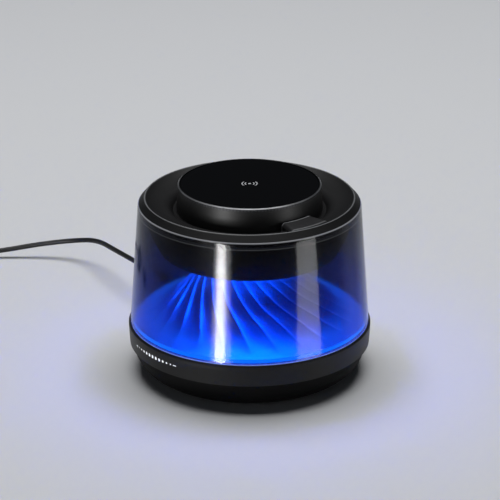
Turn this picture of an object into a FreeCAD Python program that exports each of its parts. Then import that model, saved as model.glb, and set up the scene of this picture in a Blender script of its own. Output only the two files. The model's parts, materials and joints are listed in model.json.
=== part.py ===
import FreeCAD, Part

import math
import os

import Sketcher
from FreeCAD import Placement, Rotation, Vector

# A round wireless charging pad on top of a drum-shaped lamp. Millimetres, +Z up, the origin at the centre
# of the base where it stands. An azimuth is in degrees from the front (-Y), positive towards +X.

DIMENSIONS = {
    # bottom bowl and the rubber ring under it
    "foot_inner": 52, "foot_outer": 61, "foot_height": 2.5,
    "bowl_bottom": 1.2, "bowl_floor_top": 4, "bowl_turn": 63.5, "bowl_rim": 77, "bowl_top": 21.5,
    "bowl_wall": 2.5, "boss_top": 8, "boss_radius": 4.9, "sink_top": 5,
    # base band
    "band_bottom": 20, "band_top": 34.2, "band_low_radius": 79.5, "band_radius": 80.2, "band_inner": 77.2,
    "band_bulge_low": 31, "band_bulge_top": 33.2, "ledge_inner": 70, "ledge_bottom": 31.7,
    # chassis tray
    "tray_radius": 73.5, "tray_bottom": 29, "tray_top": 31.5, "tray_bore": 8.2,
    "pillar_ring": 56.5, "pillar_radius": 4.2, "pillar_hole_top": 20, "standoff_ring": 38,
    "standoff_radius": 3, "standoff_hole_top": 27.5, "column_screw_ring": 16, "socket_post_ring": 65,
    # clear shell
    "shell_bottom": 34.8, "shell_top": 116.3, "shell_low_radius": 79, "shell_top_radius": 73.2,
    "shell_wall": 3, "shell_round": 1,
    # reflector
    "reflector_wall": 2.4, "flute_count": 24, "flute_depth": 2.4, "flute_start": 22, "flute_end": 70,
    # centre column
    "column_bore": 8, "column_radius": 10, "column_flange": 20, "flange_top": 34, "column_top": 111.9,
    "collar_radius": 28, "collar_bottom": 73.6, "collar_top": 75.6, "spigot_radius": 27, "spigot_top": 77.4,
    # light ring
    "diffuser_outer": 41.3, "diffuser_outer_height": 84, "diffuser_inner": 28.6,
    "diffuser_inner_height": 75.95, "diffuser_wall": 1.8, "light_board_bottom": 88.1,
    "light_board_inner": 14, "light_board_outer": 45.5, "board_thickness": 1.6, "light_ring": 34,
    "light_count": 24,
    # upper housing and deck ring
    "housing_bottom": 84.6, "housing_hole": 41.7, "housing_floor": 86.6, "housing_top": 111.7,
    "housing_top_radius": 69.6, "board_seat": 88, "board_seat_outer": 45, "board_seat_inner": 43,
    "post_ring": 50, "post_radius": 4, "post_bottom": 86.7,
    "rim_radius": 68.6, "rim_height": 120.6, "trough_radius": 56.4, "trough_height": 116.1,
    "groove_outer": 50.2, "groove_floor": 112, "flange_inner": 44, "flange_outer": 55.4,
    "flange_bottom": 109.5, "skirt_inner": 67.6, "skirt_bottom": 111.8, "skirt_outer": 69.9,
    "shoulder_radius": 72.6, "shoulder_bottom": 116.4,
    # press key in the trough
    "key_azimuth": 38, "key_slot_span": 28, "key_span": 27.3, "key_inner": 49.4, "key_outer": 63.9,
    "key_slot_inner": 50, "key_slot_outer": 64.2, "key_bottom": 113.3, "key_top": 119.4, "key_wall": 1.5,
    "key_stem_ring": 59, "key_stem_bottom": 112.5, "key_stem_radius": 2.2, "key_board_inner": 49,
    "key_board_outer": 66, "key_board_span": 24, "key_board_bottom": 108.4, "key_board_top": 109.4,
    "switch_side": 4.6, "switch_top": 110.4,
    # pad drum and charging plate
    "drum_bottom": 112.1, "drum_floor": 114.1, "drum_low_radius": 48, "drum_top": 127.5,
    "drum_top_radius": 47.1, "drum_bore": 9.5, "drum_step": 122, "drum_inner": 42.8,
    "drum_step_inner": 44.6, "pad_radius": 47, "pad_top": 129.6,
    "bezel_inner": 45.7, "plate_radius": 45.5, "plate_top": 129.3,
    # charging coil stack
    "carrier_bore": 5, "carrier_radius": 44.3, "carrier_top": 123.5, "ferrite_radius": 28,
    "ferrite_top": 124.9,
    "coil_inner": 10, "coil_outer": 26, "coil_top": 126.8, "charger_board_bottom": 116,
    "charger_board_radius": 41, "charger_standoff_ring": 36,
    # boards in the base
    "main_board_bottom": 20, "main_board_radius": 45, "harness_radius": 3,
    # touch slider
    "slider_height": 27.5, "slider_azimuth": -52.25, "slider_pitch": 2.47,
    "dot_small": 0.9, "dot_large": 2.4, "sign_arm": 2.6, "sign_bar": 0.6, "guide_inner": 75.6,
    "guide_outer": 76.9, "guide_bottom": 25, "guide_top": 30, "guide_span": 34, "pin_start": 76.4,
    "pin_length": 3.4, "slider_board_inner": 73.7, "slider_board_outer": 74.5, "slider_board_bottom": 23,
    "slider_board_top": 31, "slider_board_span": 35, "slider_led_ring": 75,
    # power socket and cord
    "socket_azimuth": -145, "socket_height": 27, "socket_start": 69, "socket_wide": 9.2,
    "socket_tall": 3.4, "plug_wide": 11.5, "plug_tall": 6.2, "plug_shell_start": 73.7,
    "plug_shell_wide": 8.3, "plug_shell_tall": 2.5, "relief_near": 2.9, "relief_far": 2.1,
    "cord_diameter": 3.5, "coil_turn_radius": 21,
}

HOLE_GAP = 0.05  # radial gap round a screw's shank or a light pin
DOT_COUNT = 11
MARK_DEPTH = 0.1
SCREW_RADIUS = 1.5
SCREW_HEAD_RADIUS = 2.8
SMALL_SCREW_RADIUS = 1.0
SMALL_SCREW_HEAD_RADIUS = 2.0


class Size:
    """A length: its value now, and the spreadsheet formula that a constraint or property is bound to."""

    def __init__(self, value, formula):
        self.value = value
        self.formula = formula

    def __add__(self, other):
        other = size(other)
        return Size(self.value + other.value, f"({self.formula} + {other.formula})")

    def __sub__(self, other):
        other = size(other)
        return Size(self.value - other.value, f"({self.formula} - {other.formula})")

    def __mul__(self, factor):
        return Size(self.value * factor, f"({self.formula} * ({factor:.9f}))")


def size(length):
    return length if isinstance(length, Size) else Size(float(length), f"({float(length):.6f})")


class Sheet:
    """The driving dimensions, in a spreadsheet, each read as a Size by its alias."""

    def __init__(self, document):
        cells = document.addObject("Spreadsheet::Sheet", "dims")
        for row, (alias, value) in enumerate(DIMENSIONS.items(), start=1):
            cells.set(f"A{row}", alias.replace("_", " "))
            cells.set(f"B{row}", str(value))
            cells.setAlias(f"B{row}", alias)
            setattr(self, alias, Size(float(value), f"dims.{alias}"))


class Bend:
    """A point that the arc between two corners of an outline passes through."""

    def __init__(self, x, y):
        self.point = Vector(x, y, 0)


doc = FreeCAD.newDocument("charging_pad")
D = Sheet(doc)
doc.recompute()


# ---- helpers: sketches and bodies ----


def origin_part(body, role):
    return next(item for item in body.Origin.OriginFeatures if item.Role == role)


def new_body(label, facing=None):
    """An empty body; facing is the azimuth that its own +X points to."""
    body = doc.addObject("PartDesign::Body", label)
    body.Label = label
    if facing is not None:
        body.Placement = Placement(Vector(), Rotation(Vector(0, 0, 1), facing - 90))
    return body


def new_sketch(body, plane, height=None):
    sketch = body.newObject("Sketcher::SketchObject", body.Label + "_sketch")
    sketch.AttachmentSupport = [(origin_part(body, plane), "")]
    sketch.MapMode = "FlatFace"
    if height is not None:
        sketch.setExpression("AttachmentOffset.Base.z", size(height).formula)
    return sketch


def pin(sketch, edge, end, x, y):
    """Hold one end of a sketch edge, or a circle's centre, at x, y."""
    for axis, kind, place in ((-2, "DistanceX", size(x)), (-1, "DistanceY", size(y))):
        if abs(place.value) < 1e-6:
            sketch.addConstraint(Sketcher.Constraint("PointOnObject", edge, end, axis))
        else:
            rule = Sketcher.Constraint(kind, -1, 1, edge, end, place.value)
            sketch.setExpression(f"Constraints[{sketch.addConstraint(rule)}]", place.formula)


def outline(sketch, corners, shift=0):
    """A closed outline through the corners, with an arc wherever a Bend stands between two of them."""
    places = []
    bends = {}
    for corner in corners:
        if isinstance(corner, Bend):
            bends[len(places) - 1] = corner.point + Vector(size(shift).value, 0, 0)
        else:
            places.append((size(shift) + corner[0], size(corner[1])))
    points = [Vector(x.value, y.value, 0) for x, y in places]
    ends = []
    for i, point in enumerate(points):
        after = points[(i + 1) % len(points)]
        forward = True
        if i in bends:
            forward = (bends[i] - point).cross(after - point).z > 0  # an arc runs anticlockwise
            first, last = (point, after) if forward else (after, point)
            edge = sketch.addGeometry(Part.Arc(first, bends[i], last), False)
            sketch.addConstraint(Sketcher.Constraint("Radius", edge, sketch.Geometry[edge].Radius))
        else:
            edge = sketch.addGeometry(Part.LineSegment(point, after), False)
        ends.append((edge, 1, 2) if forward else (edge, 2, 1))
    for (edge, _, finish), (after, begin, _) in zip(ends, ends[1:] + ends[:1]):
        sketch.addConstraint(Sketcher.Constraint("Coincident", edge, finish, after, begin))
    for (edge, begin, _), (x, y) in zip(ends, places):
        pin(sketch, edge, begin, x, y)


def turned(label, *corners, facing=None, span=None):
    """A body turned about Z from its (radius, height) corners: a whole turn, or span degrees about facing."""
    body = new_body(label, facing)
    sketch = new_sketch(body, "XZ_Plane")
    outline(sketch, corners)
    turn = body.newObject("PartDesign::Revolution", label + "_turn")
    turn.Profile = sketch
    turn.ReferenceAxis = (sketch, ["V_Axis"])
    if span is None:
        turn.Angle = 360
    else:
        turn.Midplane = True
        turn.setExpression("Angle", size(span).formula)
    body.Tip = turn
    return body


def groove(body, span, *corners):
    """Cut a ring sector of span degrees about the body's own +X."""
    sketch = new_sketch(body, "XZ_Plane")
    outline(sketch, corners)
    cut = body.newObject("PartDesign::Groove", body.Label + "_groove")
    cut.Profile = sketch
    cut.ReferenceAxis = (sketch, ["V_Axis"])
    cut.Midplane = True
    cut.setExpression("Angle", size(span).formula)
    body.Tip = cut


def circle_pattern(sketch, ring_radius, angles, radius):
    """Equal circles on a ring; the angles are from the body's own +X."""
    for angle in angles:
        x = size(ring_radius) * math.cos(math.radians(angle))
        y = size(ring_radius) * math.sin(math.radians(angle))
        disc = Part.Circle(Vector(x.value, y.value, 0), Vector(0, 0, 1), size(radius).value)
        edge = sketch.addGeometry(disc, False)
        rule = sketch.addConstraint(Sketcher.Constraint("Radius", edge, size(radius).value))
        sketch.setExpression(f"Constraints[{rule}]", size(radius).formula)
        pin(sketch, edge, 3, x, y)


def posts(body, ring_radius, angles, radius, bottom, top):
    """Add upright posts on a ring."""
    sketch = new_sketch(body, "XY_Plane", bottom)
    circle_pattern(sketch, ring_radius, angles, radius)
    pad = body.newObject("PartDesign::Pad", body.Label + "_posts")
    pad.Profile = sketch
    pad.setExpression("Length", (size(top) - bottom).formula)
    body.Tip = pad


def holes(body, ring_radius, angles, radius, bottom, top):
    """Drill upright holes on a ring, upwards from bottom to top."""
    sketch = new_sketch(body, "XY_Plane", bottom)
    circle_pattern(sketch, ring_radius, angles, radius)
    cut = body.newObject("PartDesign::Pocket", body.Label + "_holes")
    cut.Profile = sketch
    cut.Reversed = True
    cut.setExpression("Length", (size(top) - bottom).formula)
    body.Tip = cut


def polar(body, feature, count, span=360):
    """Repeat a feature about the body's Z axis."""
    pattern = body.newObject("PartDesign::PolarPattern", body.Label + "_pattern")
    pattern.Originals = [feature]
    pattern.Axis = (origin_part(body, "Z_Axis"), [""])
    pattern.Angle = span
    if isinstance(count, Size):
        pattern.setExpression("Occurrences", count.formula)
    else:
        pattern.Occurrences = count
    body.Tip = pattern


def screws(label, count, ring_radius, facing, shank_radius, head_radius, tip, seat, head_end):
    """Identical upright screws on a ring, each with a drive recess; head_end is the head's outer face."""
    body = new_body(label, facing)
    sketch = new_sketch(body, "XZ_Plane")
    recess = head_radius * 0.4
    recess_end = (size(head_end) + seat) * 0.5
    corners = [(0, tip), (shank_radius, tip), (shank_radius, seat), (head_radius, seat),
               (head_radius, head_end), (recess, head_end), (recess, recess_end), (0, recess_end)]
    outline(sketch, corners, shift=ring_radius)
    middle = sketch.addGeometry(Part.LineSegment(Vector(size(ring_radius).value, 0, 0),
                                                 Vector(size(ring_radius).value, 1, 0)), True)
    pin(sketch, middle, 1, ring_radius, 0)
    sketch.addConstraint(Sketcher.Constraint("Vertical", middle))
    turn = body.newObject("PartDesign::Revolution", label + "_turn")
    turn.Profile = sketch
    turn.ReferenceAxis = (sketch, ["Axis0"])
    turn.Angle = 360
    polar(body, turn, count)
    return body


def blocks(label, count, ring_radius, facing, deep, wide, bottom, top, span=360):
    """Identical upright blocks on a ring, deep along the radius and wide across it."""
    body = new_body(label, facing)
    sketch = new_sketch(body, "XY_Plane", bottom)
    inner, outer = size(ring_radius) - size(deep) * 0.5, size(ring_radius) + size(deep) * 0.5
    left, right = size(wide) * -0.5, size(wide) * 0.5
    outline(sketch, [(inner, left), (outer, left), (outer, right), (inner, right)])
    pad = body.newObject("PartDesign::Pad", label + "_pad")
    pad.Profile = sketch
    pad.setExpression("Length", (size(top) - bottom).formula)
    polar(body, pad, count, span)
    return body


# ---- helpers: Part primitives set out along a radius ----


def radial(azimuth, start=0, side=0, height=0, lying=False):
    """A place on the radius at an azimuth, +X outwards; lying turns a cylinder's axis onto the radius."""
    turn = Rotation(Vector(0, 0, 1), azimuth - 90)
    base = turn.multVec(Vector(size(start).value, side, size(height).value))
    return Placement(base, turn * Rotation(Vector(0, 1, 0), 90) if lying else turn)


def bind(item, **sizes):
    """Bind properties of a primitive to the sheet."""
    for name, length in sizes.items():
        item.setExpression(name, size(length).formula)
    return item


def box(name, place, deep, wide, tall):
    item = doc.addObject("Part::Box", name)
    item.Placement = place
    return bind(item, Length=deep, Width=wide, Height=tall)


def rod(name, place, radius, long):
    item = doc.addObject("Part::Cylinder", name)
    item.Placement = place
    return bind(item, Radius=radius, Height=long)


def cone(name, place, near_radius, far_radius, long):
    item = doc.addObject("Part::Cone", name)
    item.Placement = place
    return bind(item, Radius1=near_radius, Radius2=far_radius, Height=long)


def cut(name, base, *tools):
    item = doc.addObject("Part::Cut", name)
    item.Base = base
    item.Tool = tools[0] if len(tools) == 1 else joined(name + "_tools", *tools)
    return item


def joined(name, *pieces):
    item = doc.addObject("Part::MultiFuse", name)
    item.Shapes = list(pieces)
    return item


def group(name, *pieces):
    item = doc.addObject("Part::Compound", name)
    item.Links = list(pieces)
    return item


def rounded(name, base, radius):
    """Round every edge of a box."""
    doc.recompute()
    item = doc.addObject("Part::Fillet", name)
    item.Base = base
    item.Edges = [(number + 1, radius, radius) for number in range(len(base.Shape.Edges))]
    return item


def solid(name, shape):
    """A piece whose shape is worked out here, because no feature of the tree makes it."""
    item = doc.addObject("Part::Feature", name)
    item.Shape = shape
    return item


QUARTERS = (0, 90, 180, 270)
THIRDS = (0, 120, 240)
PILLAR_AZIMUTH = 45
HOUSING_POST_AZIMUTH = 100


# ---- the base: rubber ring, bowl, band, tray, screws ----


def foot_ring():
    edge = 0.6
    return turned("foot_ring",
                  (D.foot_inner + edge, 0), (D.foot_outer - edge, 0), (D.foot_outer, edge),
                  (D.foot_outer, D.foot_height), (D.foot_inner, D.foot_height), (D.foot_inner, edge))


def bottom_bowl():
    gap = 0.1
    inner_rim = D.bowl_rim - D.bowl_wall
    body = turned("bottom_bowl",
                  (0, D.bowl_bottom), (D.foot_inner - gap, D.bowl_bottom), (D.foot_inner - gap, D.foot_height),
                  (D.foot_outer + gap, D.foot_height), (D.foot_outer + gap, D.bowl_bottom),
                  (D.bowl_turn, D.bowl_bottom), Bend(72.6, 7.4), (D.bowl_rim, D.bowl_top),
                  (inner_rim, D.bowl_top), Bend(70.4, 9.2), (D.bowl_turn - 1.5, D.bowl_floor_top),
                  (0, D.bowl_floor_top), facing=PILLAR_AZIMUTH)
    posts(body, D.pillar_ring, QUARTERS, D.boss_radius, D.bowl_floor_top - 0.5, D.boss_top)
    holes(body, D.pillar_ring, QUARTERS, SCREW_RADIUS + 2 * HOLE_GAP, D.bowl_bottom, D.boss_top)
    holes(body, D.pillar_ring, QUARTERS, SCREW_HEAD_RADIUS + 0.2, D.bowl_bottom, D.sink_top)
    return body


def base_screws():
    return screws("base_screws", len(QUARTERS), D.pillar_ring, PILLAR_AZIMUTH, SCREW_RADIUS, SCREW_HEAD_RADIUS,
                  D.pillar_hole_top - 0.5, D.sink_top, D.foot_height + 0.4)


def base_tray():
    body = turned("base_tray",
                  (D.tray_bore, D.tray_bottom), (D.tray_radius, D.tray_bottom), (D.tray_radius, D.tray_top),
                  (D.tray_bore, D.tray_top), facing=PILLAR_AZIMUTH)
    sink = 0.5
    posts(body, D.pillar_ring, QUARTERS, D.pillar_radius, D.boss_top + HOLE_GAP, D.tray_bottom + sink)
    posts(body, D.standoff_ring, QUARTERS, D.standoff_radius, D.main_board_bottom + D.board_thickness,
          D.tray_bottom + sink)
    socket_side = D.socket_azimuth.value - PILLAR_AZIMUTH
    posts(body, D.socket_post_ring, (socket_side - 6, socket_side + 6), 1.8,
          D.socket_height - D.socket_tall * 0.5 + HOLE_GAP, D.tray_bottom + sink)
    holes(body, D.pillar_ring, QUARTERS, SCREW_RADIUS + HOLE_GAP, D.boss_top, D.pillar_hole_top)
    holes(body, D.standoff_ring, QUARTERS, SMALL_SCREW_RADIUS + HOLE_GAP,
          D.main_board_bottom + D.board_thickness, D.standoff_hole_top)
    holes(body, D.column_screw_ring, THIRDS, SCREW_RADIUS + HOLE_GAP, D.tray_bottom, D.tray_top)
    return body


def dot_radius(number):
    """The slider's dots grow towards the middle of the row."""
    share = math.sin(math.pi * (number + 1) / (DOT_COUNT + 1)) ** 1.5
    return (D.dot_small + (D.dot_large - D.dot_small) * share) * 0.5


def slider_azimuths():
    """The plus, the dots and the minus, from left to right."""
    middle = (DOT_COUNT + 1) / 2
    return [D.slider_azimuth.value + D.slider_pitch.value * (i - middle) for i in range(DOT_COUNT + 2)]


def slider_marks(name, start, long, grow):
    """Rods for the dots and crossed bars for the plus and the minus, all along their radius."""
    marks = []
    places = slider_azimuths()
    wide, thin = D.sign_arm + 2 * grow, D.sign_bar + 2 * grow
    for number, azimuth in enumerate(places[1:-1]):
        place = radial(azimuth, start, 0, D.slider_height, lying=True)
        marks.append(rod(f"{name}_dot{number}", place, dot_radius(number) + grow, long))
    for kind, azimuth in (("plus", places[0]), ("minus", places[-1])):
        level = radial(azimuth, start, -wide.value / 2, D.slider_height - thin * 0.5)
        across = box(f"{name}_{kind}_bar", level, long, wide, thin)
        if kind == "minus":
            marks.append(across)
        else:
            upright = radial(azimuth, start, -thin.value / 2, D.slider_height - wide * 0.5)
            marks.append(joined(f"{name}_plus", across, box(f"{name}_plus_post", upright, long, thin, wide)))
    return marks


def base_band():
    ring = turned("band_blank",
                  (D.band_inner, D.band_bottom), (D.band_low_radius, D.band_bottom),
                  (D.band_radius, D.band_bulge_low), (D.band_radius, D.band_bulge_top),
                  (D.band_radius - 0.8, D.band_top), (D.ledge_inner, D.band_top),
                  (D.ledge_inner, D.ledge_bottom), (D.band_inner, D.ledge_bottom))
    start = D.band_inner - 1
    through = 5
    wide, tall = D.socket_wide + 0.4, D.socket_tall + 0.4
    place = radial(D.socket_azimuth.value, start, -wide.value / 2, D.socket_height - tall * 0.5)
    inlet = box("inlet_window", place, through, wide, tall)
    return cut("base_band", ring, *slider_marks("window", start, through, HOLE_GAP), inlet)


def slider_light_guide():
    strip = turned("guide_strip", (D.guide_inner, D.guide_bottom), (D.guide_outer, D.guide_bottom),
                   (D.guide_outer, D.guide_top), (D.guide_inner, D.guide_top),
                   facing=D.slider_azimuth.value, span=D.guide_span)
    pins = slider_marks("pin", D.pin_start, D.pin_length, 0)
    return joined("slider_light_guide", strip, *pins)


def slider_board():
    inner, outer = D.slider_board_inner, D.slider_board_outer
    low, high = D.slider_board_bottom, D.slider_board_top
    return turned("slider_board", (inner, low), (outer, low), (outer, high), (inner, high),
                  facing=D.slider_azimuth.value, span=D.slider_board_span)


def slider_leds():
    first = slider_azimuths()[0]
    span = D.slider_pitch.value * (DOT_COUNT + 1)
    half = 0.6
    return blocks("slider_leds", DOT_COUNT + 2, D.slider_led_ring, first, 0.9, 1.6, D.slider_height - half,
                  D.slider_height + half, span)


def shell_gasket():
    outer = D.shell_low_radius - 0.3
    inner = outer - 2.4
    return turned("shell_gasket", (inner, D.band_top), (outer, D.band_top), (outer, D.shell_bottom),
                  (inner, D.shell_bottom))


# ---- the lamp: clear shell, reflector, column, light ring, housing ----


def clear_shell():
    crown = D.shell_top_radius - D.shell_round
    return turned("clear_shell",
                  (D.shell_low_radius - D.shell_wall, D.shell_bottom), (D.shell_low_radius, D.shell_bottom),
                  (D.shell_top_radius, D.shell_top - D.shell_round),
                  Bend(D.shell_top_radius.value - 0.29, D.shell_top.value - 0.29), (crown, D.shell_top),
                  (D.shell_top_radius - D.shell_wall, D.shell_top))


# The reflector's crest line, (radius, height), from the neck down to the floor.
REFLECTOR_LINE = [
    (28.5, 75.8),
    (31.5, 71.2),
    (35, 67),
    (42, 59),
    (50, 52),
    (60, 44.2),
    (69, 39.2),
    (75.5, 37.2),
]


def crest_turn(radius):
    """How far a crest has swirled at a radius, in degrees, against where it ends on the floor."""
    return -0.0243 * max(0.0, D.flute_end.value - radius) ** 2


def flute_drop(radius, across):
    """How far the channel lies below its two crests, across from 0 to 1 between them."""
    share = (radius - D.flute_start.value) / (D.flute_end.value - D.flute_start.value)
    depth = D.flute_depth.value * math.sin(math.pi * min(1.0, share))
    return depth * 4 * across * (1 - across)


def flute_face(pitch):
    """One channel's top surface, from crest to crest."""
    rows = []
    for radius, height in REFLECTOR_LINE:
        row = []
        for step in range(7):
            across = step / 6
            angle = math.radians(crest_turn(radius) + pitch * across)
            row.append(Vector(radius * math.sin(angle), -radius * math.cos(angle),
                              height - flute_drop(radius, across)))
        rows.append(row)
    surface = Part.BSplineSurface()
    surface.interpolate(rows)
    return surface.toShape()


def end_edge(face, radius):
    """The face's edge that lies on a circle of this radius about Z."""
    def miss(edge):
        return sum(abs(math.hypot(v.X, v.Y) - radius) for v in edge.Vertexes)
    return min(face.Edges, key=miss)


def reflector():
    count = int(D.flute_count.value)
    pitch = 360 / count
    top = flute_face(pitch)
    under = top.copy()
    under.translate(Vector(0, 0, -D.reflector_wall.value))
    faces = [top, under]
    for radius in (REFLECTOR_LINE[0][0], REFLECTOR_LINE[-1][0]):
        faces.append(Part.makeRuledSurface(end_edge(top, radius), end_edge(under, radius)))
    every = []
    for number in range(count):
        for face in faces:
            turned_face = face.copy()
            turned_face.rotate(Vector(), Vector(0, 0, 1), pitch * number)
            every.append(turned_face)
    skin = Part.Compound(every)
    skin.sewShape(1e-4)
    shape = Part.Solid(skin.Shells[0])
    if shape.Volume < 0:
        shape.reverse()
    return solid("reflector", shape)


def centre_column():
    body = turned("centre_column",
                  (D.column_bore, D.tray_top), (D.column_flange, D.tray_top),
                  (D.column_flange, D.flange_top), (D.column_radius + 1, D.flange_top + 0.2),
                  (D.column_radius, D.flange_top + 3), (D.column_radius, D.collar_bottom - 6),
                  (D.collar_radius, D.collar_bottom), (D.collar_radius, D.collar_top),
                  (D.spigot_radius, D.collar_top), (D.spigot_radius, D.spigot_top),
                  (D.column_radius, D.spigot_top), (D.column_radius, D.column_top),
                  (D.column_bore, D.column_top), facing=PILLAR_AZIMUTH)
    holes(body, D.column_screw_ring, THIRDS, SCREW_RADIUS + HOLE_GAP, D.tray_top, D.flange_top + 1)
    return body


def column_screws():
    seat = D.flange_top + 0.25
    return screws("column_screws", len(THIRDS), D.column_screw_ring, PILLAR_AZIMUTH, SCREW_RADIUS,
                  SCREW_HEAD_RADIUS, D.tray_bottom, seat, seat + 1.75)


def light_diffuser():
    step_in, step_up = 1.15, D.diffuser_wall
    return turned("light_diffuser", (D.diffuser_inner, D.diffuser_inner_height),
                  (D.diffuser_outer, D.diffuser_outer_height),
                  (D.diffuser_outer - step_in, D.diffuser_outer_height + step_up),
                  (D.diffuser_inner - step_in, D.diffuser_inner_height + step_up))


def light_ring_board():
    low, high = D.light_board_bottom, D.light_board_bottom + D.board_thickness
    return turned("light_ring_board", (D.light_board_inner, low), (D.light_board_outer, low),
                  (D.light_board_outer, high), (D.light_board_inner, high))


def light_leds():
    return blocks("light_leds", D.light_count, D.light_ring, 0, 2.8, 3.5, D.light_board_bottom - 1.0,
                  D.light_board_bottom)


def upper_housing():
    top = D.housing_top
    body = turned("upper_housing",
                  (D.housing_hole, D.housing_bottom), (58.2, D.housing_bottom), Bend(59.0, 85.0), (59.4, 85.9),
                  Bend(65.6, 97.5), (D.housing_top_radius, top), (D.housing_top_radius - 2.1, top),
                  Bend(63.6, 98.0), (57.4, D.housing_floor), (D.board_seat_outer, D.housing_floor),
                  (D.board_seat_outer, D.board_seat), (D.board_seat_inner, D.board_seat),
                  (D.board_seat_inner, D.housing_floor), (D.housing_hole, D.housing_floor),
                  facing=HOUSING_POST_AZIMUTH)
    holes(body, D.post_ring, QUARTERS, SCREW_RADIUS + 2 * HOLE_GAP, D.housing_bottom, D.housing_floor)
    return body


def housing_screws():
    return screws("housing_screws", len(QUARTERS), D.post_ring, HOUSING_POST_AZIMUTH, SCREW_RADIUS,
                  SCREW_HEAD_RADIUS, 98, D.housing_bottom, D.housing_bottom - 1.8)


# ---- the deck: top ring, press key and its switch ----


def deck_ring():
    post_angles = [HOUSING_POST_AZIMUTH - D.key_azimuth.value + quarter for quarter in QUARTERS]
    body = turned("deck_ring",
                  (D.shoulder_radius, D.shoulder_bottom), (69.4, 120.0), Bend(69.12, 120.38),
                  (D.rim_radius, D.rim_height), Bend(61.8, 117.2), (D.trough_radius, D.trough_height),
                  Bend(53.0, 114.8), (D.groove_outer, D.groove_floor), (D.flange_inner, D.groove_floor),
                  (D.flange_inner, D.flange_bottom), (D.flange_outer, D.flange_bottom),
                  (D.flange_outer, 113.0), Bend(61.2, 114.9), (66.6, 117.2), (D.skirt_inner, 116.9),
                  (D.skirt_inner, D.skirt_bottom), (D.skirt_outer, D.skirt_bottom),
                  (D.skirt_outer, D.shoulder_bottom), facing=D.key_azimuth.value)
    above = D.rim_height + 1.4
    groove(body, D.key_slot_span, (D.key_slot_inner, D.groove_floor), (D.key_slot_outer, D.groove_floor),
           (D.key_slot_outer, above), (D.key_slot_inner, above))
    posts(body, D.post_ring, post_angles, D.post_radius, D.post_bottom, D.flange_bottom + 0.5)
    holes(body, D.post_ring, post_angles, SCREW_RADIUS + HOLE_GAP, D.post_bottom, D.post_bottom + 12.3)
    return body


def deck_key():
    edge = 0.4
    body = turned("deck_key",
                  (D.key_inner, D.key_bottom), (D.key_outer, D.key_bottom), (D.key_outer, D.key_top - edge),
                  (D.key_outer - edge, D.key_top), (D.key_inner + edge, D.key_top),
                  (D.key_inner, D.key_top - edge), facing=D.key_azimuth.value, span=D.key_span)
    ceiling = D.key_top - D.key_wall
    groove(body, D.key_span - 3.2, (D.key_inner + D.key_wall, D.key_bottom), (D.key_outer - D.key_wall,
           D.key_bottom), (D.key_outer - D.key_wall, ceiling), (D.key_inner + D.key_wall, ceiling))
    posts(body, D.key_stem_ring, (0,), D.key_stem_radius, D.key_stem_bottom, ceiling + 0.5)
    return body


def key_board():
    inner, outer = D.key_board_inner, D.key_board_outer
    low, high = D.key_board_bottom, D.key_board_top
    return turned("key_board", (inner, low), (outer, low), (outer, high), (inner, high),
                  facing=D.key_azimuth.value, span=D.key_board_span)


def key_switch():
    return blocks("key_switch", 1, D.key_stem_ring, D.key_azimuth.value, D.switch_side, D.switch_side,
                  D.key_board_top, D.switch_top)


def key_return_pad():
    place = radial(D.key_azimuth.value, D.key_stem_ring, 0, D.switch_top)
    return cone("key_return_pad", place, 2.0, 1.4, D.key_stem_bottom - D.switch_top)


# ---- the pad: drum, bezel, plate, mark and charging stack ----


def pad_drum():
    body = turned("pad_drum",
                  (D.drum_bore, D.drum_bottom), (D.drum_low_radius, D.drum_bottom),
                  (D.drum_top_radius, D.drum_top), (D.drum_step_inner, D.drum_top),
                  (D.drum_step_inner, D.drum_step), (D.drum_inner, D.drum_step), (D.drum_inner, D.drum_floor),
                  (D.drum_bore, D.drum_floor), facing=PILLAR_AZIMUTH)
    posts(body, D.charger_standoff_ring, QUARTERS, D.standoff_radius, D.drum_floor - 0.5,
          D.charger_board_bottom)
    holes(body, D.charger_standoff_ring, QUARTERS, SMALL_SCREW_RADIUS + HOLE_GAP, D.drum_bottom,
          D.charger_board_bottom)
    return body


def bezel_ring():
    edge = 0.7
    return turned("bezel_ring",
                  (D.bezel_inner, D.drum_top), (D.pad_radius, D.drum_top), (D.pad_radius, D.pad_top - edge),
                  (D.pad_radius - edge, D.pad_top), (D.bezel_inner, D.pad_top))


def plate_mark():
    """A dot between two pairs of arcs, the common sign for a wireless signal, let into the plate."""
    low, high = D.plate_top - MARK_DEPTH, D.plate_top
    dot, line, span = 1.0, 0.7, 84
    marks = [rod("mark_dot", Placement(Vector(0, 0, low.value), Rotation()), dot, high - low)]
    for side, facing in (("right", 90), ("left", -90)):
        for radius in (2.6, 4.6):
            name = f"mark_arc_{side}_{radius:.0f}"
            marks.append(turned(name, (radius, low), (radius + line, low), (radius + line, high),
                                (radius, high), facing=facing, span=span))
    return group("plate_mark", *marks)


def charging_plate():
    """The plate, with a shallow recess that the mark fills flush."""
    edge = 0.3
    blank = turned("plate_blank",
                   (0, D.drum_top), (D.plate_radius, D.drum_top), (D.plate_radius, D.plate_top - edge),
                   (D.plate_radius - edge, D.plate_top), (0, D.plate_top))
    return cut("charging_plate", blank, doc.getObject("plate_mark"))


def charging_coil():
    return turned("charging_coil", (D.coil_inner, D.ferrite_top), (D.coil_outer, D.ferrite_top),
                  (D.coil_outer, D.coil_top), (D.coil_inner, D.coil_top))


def ferrite_shield():
    return turned("ferrite_shield", (0, D.carrier_top), (D.ferrite_radius, D.carrier_top),
                  (D.ferrite_radius, D.ferrite_top), (0, D.ferrite_top))


def coil_carrier():
    low = D.drum_step + HOLE_GAP
    return turned("coil_carrier", (D.carrier_bore, low), (D.carrier_radius, low),
                  (D.carrier_radius, D.carrier_top), (D.carrier_bore, D.carrier_top))


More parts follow.
